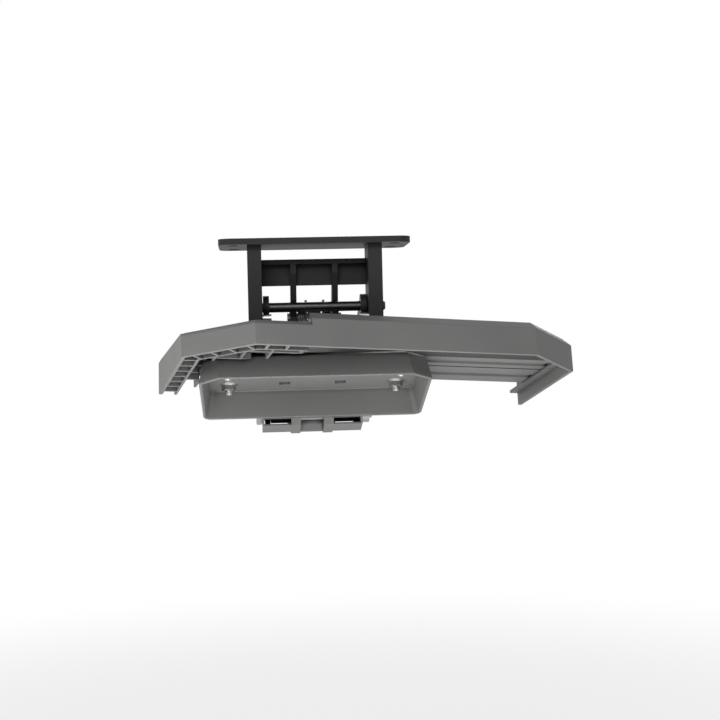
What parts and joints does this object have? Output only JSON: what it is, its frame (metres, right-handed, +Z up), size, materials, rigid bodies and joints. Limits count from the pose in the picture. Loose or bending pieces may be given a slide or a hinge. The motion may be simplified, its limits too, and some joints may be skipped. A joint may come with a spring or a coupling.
{
  "type": "rear retractable step",
  "caption": "Retractable rear step: a skewed hoop-shaped tread on a pressed tray, swung down and back on twin arms with a control link.",
  "frame": {"origin": "centre of the top mounting face, at the middle of the four bolt holes", "axes": "+X to the step's right as seen from behind the vehicle, +Y forward under the vehicle, +Z up"},
  "size_m": [0.4346, 0.2716, 0.2025],
  "materials": {
    "coated_steel": "satin fine-textured dark grey powder coat",
    "coated_cast": "satin fine-textured dark grey powder coat on cast aluminium",
    "coated_board": "satin powder coat on extruded aluminium",
    "zinc_steel": "dull zinc plating",
    "spring_steel": "oiled spring steel",
    "bush_bronze": "sintered bronze",
    "buffer_rubber": "matte black rubber"
  },
  "bodies": {
    "hanger": {"mount_plate": "coated_steel", "hanger_left": "coated_steel", "hanger_right": "coated_steel", "cross_beam": "coated_steel", "main_pivot_bolt": "zinc_steel", "main_pivot_nut": "zinc_steel", "main_pivot_washers": "zinc_steel", "link_upper_pin": "zinc_steel", "link_upper_clips": "spring_steel", "deploy_stop_pins": "zinc_steel", "rubber_buffers": "buffer_rubber", "buffer_screws": "zinc_steel", "torsion_springs": "spring_steel"},
    "swing_arms": {"swing_arm_left": "coated_steel", "swing_arm_right": "coated_steel", "arm_tie_bar": "coated_steel", "arm_bushes": "bush_bronze"},
    "link": {"control_link": "coated_cast", "link_bush": "bush_bronze"},
    "step": {"step_frame": "coated_cast", "tread_board_rear": "coated_board", "tread_board_middle": "coated_board", "tread_board_front": "coated_board", "tread_screws": "zinc_steel", "carrier_tray": "coated_steel", "carriage_bolts": "zinc_steel", "flange_nuts": "zinc_steel", "pivot_bracket": "coated_steel", "step_pivot_bolt": "zinc_steel", "step_pivot_nut": "zinc_steel", "pivot_spacers": "coated_steel", "link_lower_pin": "zinc_steel", "link_lower_clips": "spring_steel"}
  },
  "joints": [
    {"name": "arm_swing", "type": "hinge", "parent": "hanger", "child": "swing_arms", "pos_m": [0, 0, -0.067], "axis": [-1, 0, 0], "range_deg": [0, 88]},
    {"name": "step_turn", "type": "hinge", "parent": "swing_arms", "child": "step", "pos_m": [0, 0.155, -0.182], "axis": [1, 0, 0], "range_deg": [0, 103.7]},
    {"name": "link_swing", "type": "hinge", "parent": "hanger", "child": "link", "pos_m": [0, 0.022, -0.077], "axis": [-1, 0, 0], "range_deg": [0, 89.5]}
  ],
  "couplings": [
    {"joint": "step_turn", "follows": "arm_swing", "ratio": 1.1784},
    {"joint": "link_swing", "follows": "arm_swing", "ratio": 1.0108}
  ]
}
